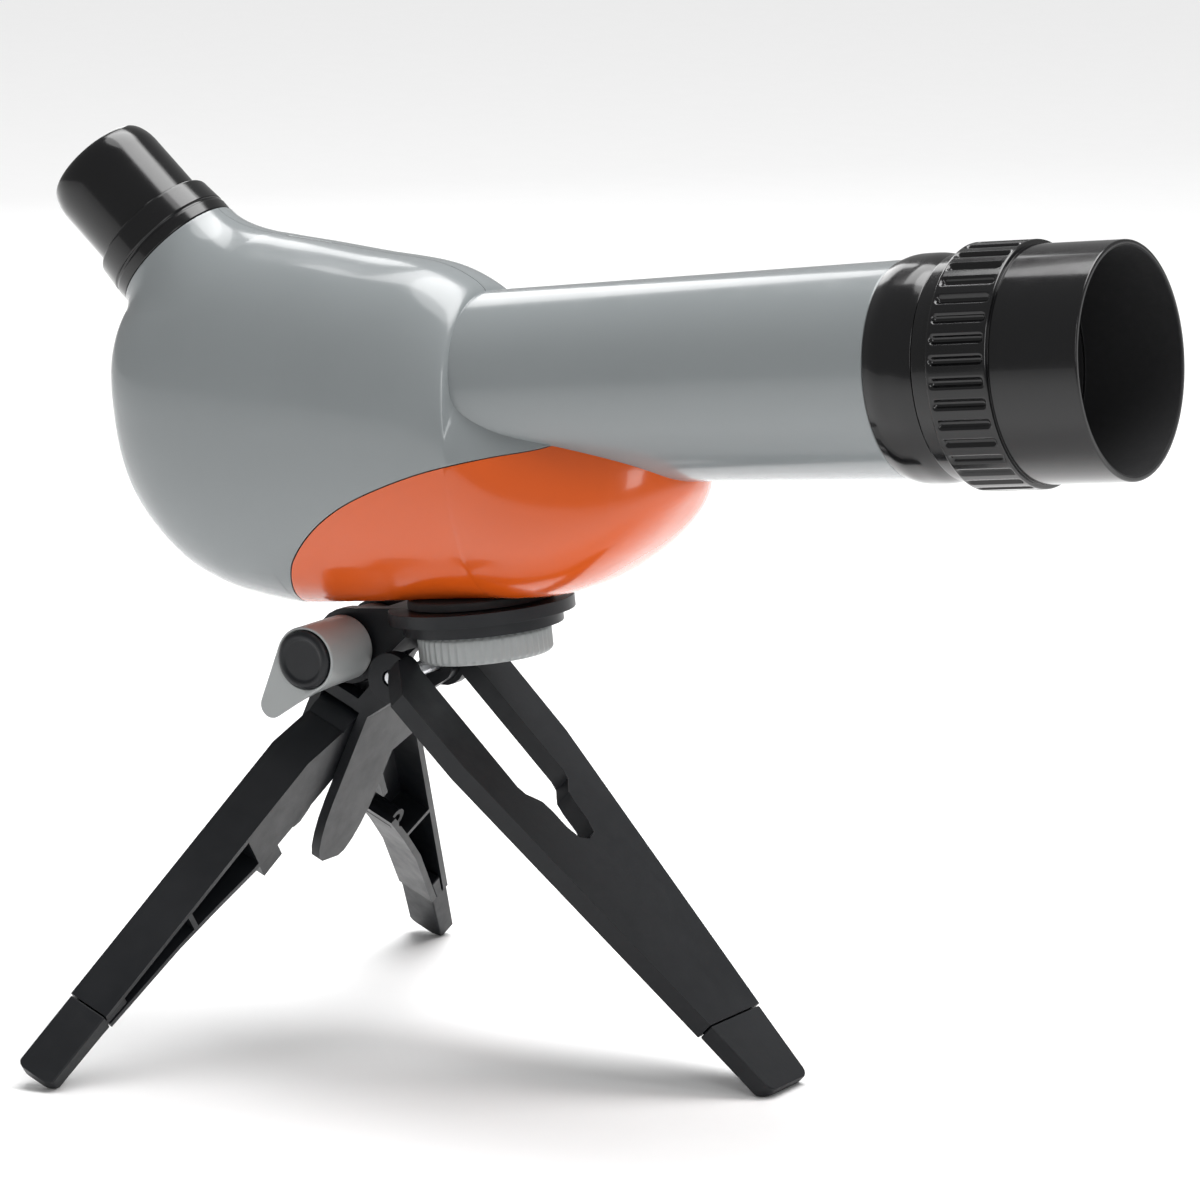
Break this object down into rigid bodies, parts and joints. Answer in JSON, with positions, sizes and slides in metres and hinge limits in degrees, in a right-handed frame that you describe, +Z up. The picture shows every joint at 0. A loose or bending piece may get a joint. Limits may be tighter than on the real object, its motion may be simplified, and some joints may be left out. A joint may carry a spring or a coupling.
{
  "type": "telescope on tripod",
  "caption": "Small angled spotting telescope with a focusing hood and an orange belly panel, clamped on a folding table tripod with a tilting head.",
  "frame": {"origin": "middle of the bounding box's floor, where the three feet stand", "axes": "+Z up, +X towards the objective end, +Y to the left of someone who looks through the eyepiece"},
  "size_m": [0.3328, 0.2052, 0.2471],
  "materials": {
    "black_plastic": "satin",
    "gloss_black": "glossy",
    "grey_plastic": "glossy",
    "orange_plastic": "glossy",
    "silver_plastic": "satin",
    "foot_plastic": "matte",
    "pad_rubber": "matte",
    "steel": "bright zinc plated",
    "brass": "turned",
    "optical_glass": "polished"
  },
  "bodies": {
    "tripod_spine": {"spine": "black_plastic", "rear_leg_pin_left": "steel", "rear_leg_pin_right": "steel", "front_leg_pin": "steel", "tilt_bolt": "steel", "tilt_washer": "steel"},
    "leg_front": {"front_leg": "black_plastic", "front_foot": "foot_plastic"},
    "leg_left": {"rear_leg_left": "black_plastic", "rear_foot_left": "foot_plastic"},
    "leg_right": {"rear_leg_right": "black_plastic", "rear_foot_right": "foot_plastic"},
    "clamp_knob": {"tilt_knob": "silver_plastic", "tilt_knob_cap": "black_plastic"},
    "head_plate_body": {"head_plate": "black_plastic", "rubber_pad": "pad_rubber"},
    "screw_wheel": {"thumbwheel": "silver_plastic", "camera_screw": "steel"},
    "telescope": {"body_left": "grey_plastic", "body_right": "grey_plastic", "belly_panel": "orange_plastic", "body_screw_1": "steel", "body_screw_2": "steel", "body_screw_3": "steel", "body_screw_4": "steel", "tripod_bush": "brass", "main_tube": "grey_plastic", "objective_collar": "gloss_black", "light_baffle_rear": "black_plastic", "light_baffle_front": "black_plastic", "prism": "optical_glass", "prism_holder": "black_plastic", "eyepiece_base": "gloss_black", "eye_cup": "gloss_black", "eyepiece_barrel": "black_plastic", "eye_lens": "optical_glass", "field_lens": "optical_glass"},
    "focus_ring": {"focus_hood": "gloss_black"},
    "objective": {"objective_cell": "black_plastic", "objective_flint": "optical_glass", "objective_crown": "optical_glass", "lens_retainer": "black_plastic", "focus_pin": "steel"}
  },
  "joints": [
    {"name": "front_leg_fold", "type": "hinge", "parent": "tripod_spine", "child": "leg_front", "pos_m": [-0.05132, 0, 0.1033], "axis": [0, 1, 0], "range_deg": [0, 70]},
    {"name": "right_leg_fold", "type": "hinge", "parent": "tripod_spine", "child": "leg_right", "pos_m": [-0.07767, -0.008, 0.08849], "axis": [0.9135, 0, -0.4067], "range_deg": [0, 41]},
    {"name": "left_leg_fold", "type": "hinge", "parent": "tripod_spine", "child": "leg_left", "pos_m": [-0.07767, 0.008, 0.08849], "axis": [-0.9135, 0, 0.4067], "range_deg": [0, 41]},
    {"name": "head_tilt", "type": "hinge", "parent": "tripod_spine", "child": "head_plate_body", "pos_m": [-0.06832, 0, 0.1095], "axis": [0, -1, 0], "range_deg": [-2, 24]},
    {"name": "clamp_knob_turn", "type": "hinge", "parent": "tripod_spine", "child": "clamp_knob", "pos_m": [-0.06832, 0, 0.1095], "axis": [0, 1, 0], "range_deg": [0, 30]},
    {"name": "screw_wheel_turn", "type": "hinge", "parent": "head_plate_body", "child": "screw_wheel", "pos_m": [-0.03059, 0, 0.114], "axis": [-0.1184, 0, 0.993], "continuous": true},
    {"name": "telescope_turn", "type": "hinge", "parent": "head_plate_body", "child": "telescope", "pos_m": [-0.03207, 0, 0.12641], "axis": [-0.1184, 0, 0.993], "continuous": true},
    {"name": "focus_turn", "type": "hinge", "parent": "telescope", "child": "focus_ring", "pos_m": [0.12218, 0, 0.2011], "axis": [0.993, 0, 0.1184], "range_deg": [-150, 150]},
    {"name": "objective_travel", "type": "slide", "parent": "telescope", "child": "objective", "axis": [0.993, 0, 0.1184], "range_m": [-0.002, 0.002]}
  ],
  "couplings": [
    {"joint": "objective_travel", "follows": "focus_turn", "m_per_rad": 0.00076394}
  ]
}
